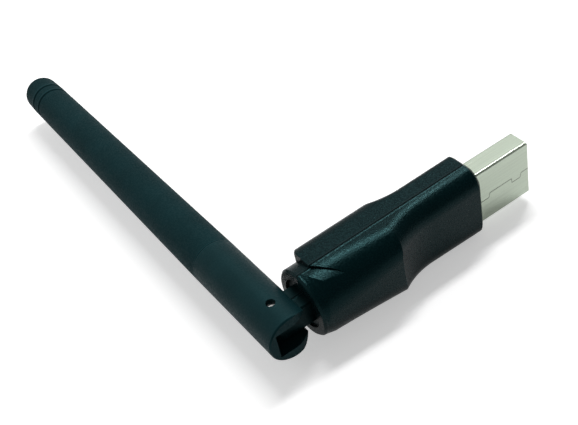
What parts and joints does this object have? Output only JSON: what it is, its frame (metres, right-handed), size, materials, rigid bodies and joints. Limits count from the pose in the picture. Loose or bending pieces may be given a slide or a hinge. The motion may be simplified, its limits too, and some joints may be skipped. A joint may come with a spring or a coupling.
{
  "type": "bluetooth usb dongle",
  "caption": "Radio dongle with a scooped housing, a standard plug, and a stub antenna that folds and turns on a forked hinge.",
  "frame": {"origin": "centre of the plug's open end", "axes": "+X out of the plug along its length, +Y along the folded antenna, +Z towards the housing's upper side"},
  "size_m": [0.0615, 0.1078, 0.0158],
  "materials": {
    "housing_plastic": "satin",
    "antenna_plastic": "fine matte",
    "knuckle_plastic": "satin",
    "pin_steel": "ground",
    "plug_steel": "satin plated",
    "insulator_plastic": "moulded",
    "contact_gold": "flash plated",
    "board_laminate": "varnished",
    "chip_resin": "moulded",
    "crystal_case": "plated",
    "capacitor_ceramic": "fired",
    "lead_jacket": "extruded",
    "radiator_brass": "drawn"
  },
  "bodies": {
    "housing": {"near_shell": "housing_plastic", "far_shell": "housing_plastic", "plug_shell": "plug_steel", "plug_insulator": "insulator_plastic", "contact_power": "contact_gold", "contact_data_minus": "contact_gold", "contact_data_plus": "contact_gold", "contact_ground": "contact_gold", "circuit_board": "board_laminate", "radio_chip": "chip_resin", "crystal": "crystal_case", "voltage_regulator": "chip_resin", "matching_inductor": "chip_resin", "chip_capacitors": "capacitor_ceramic", "chip_resistors": "chip_resin"},
    "knuckle": {"knuckle_near": "knuckle_plastic", "knuckle_far": "knuckle_plastic", "coax_cable": "lead_jacket"},
    "antenna": {"antenna_base": "antenna_plastic", "antenna_sleeve": "antenna_plastic", "hinge_pin_upper": "pin_steel", "hinge_pin_lower": "pin_steel", "radiator_tube": "radiator_brass"}
  },
  "joints": [
    {"name": "antenna_swivel", "type": "hinge", "parent": "housing", "child": "knuckle", "pos_m": [-0.049, 0, 0], "axis": [1, 0, 0], "range_deg": [-180, 180]},
    {"name": "antenna_fold", "type": "hinge", "parent": "knuckle", "child": "antenna", "pos_m": [-0.0568, 0, 0], "axis": [0, 0, 1], "range_deg": [0, 90], "deforming": ["coax_cable"]}
  ]
}
